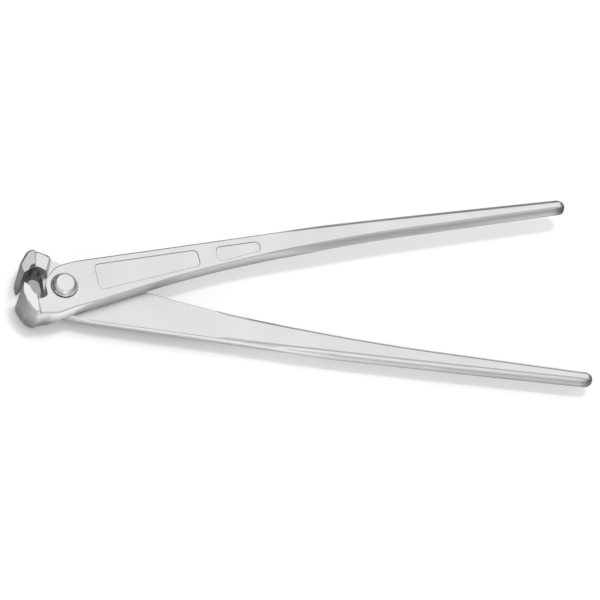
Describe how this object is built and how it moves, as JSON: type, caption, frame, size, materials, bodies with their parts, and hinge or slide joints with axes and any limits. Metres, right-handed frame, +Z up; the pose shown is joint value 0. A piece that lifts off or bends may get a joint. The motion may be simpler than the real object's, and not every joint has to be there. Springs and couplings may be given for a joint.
{
  "type": "rebar tying pliers",
  "caption": "End-cutting tying pliers with long slim steel handles, two lapped forged levers and a rivet, for twisting and cutting binding wire",
  "frame": {"origin": "middle of the bounding box seen from above, at the height of the surface the tool lies on", "axes": "+X from the jaws to the handle tips along the middle line of the open handles, +Y towards the front lever's handle, +Z up along the pivot axis"},
  "size_m": [0.2958, 0.1056, 0.0254],
  "materials": {
    "front_lever_steel": "satin zinc-coloured",
    "back_lever_steel": "satin zinc-coloured",
    "pivot_rivet_steel": "smooth, slightly brighter"
  },
  "bodies": {
    "front": {"front_lever": "front_lever_steel", "pivot_rivet": "pivot_rivet_steel"},
    "back": {"back_lever": "back_lever_steel"}
  },
  "joints": [
    {"name": "pivot", "type": "hinge", "parent": "front", "child": "back", "pos_m": [-0.12612, 0, 0.01268], "axis": [0, 0, -1], "range_deg": [-14, 28]}
  ]
}
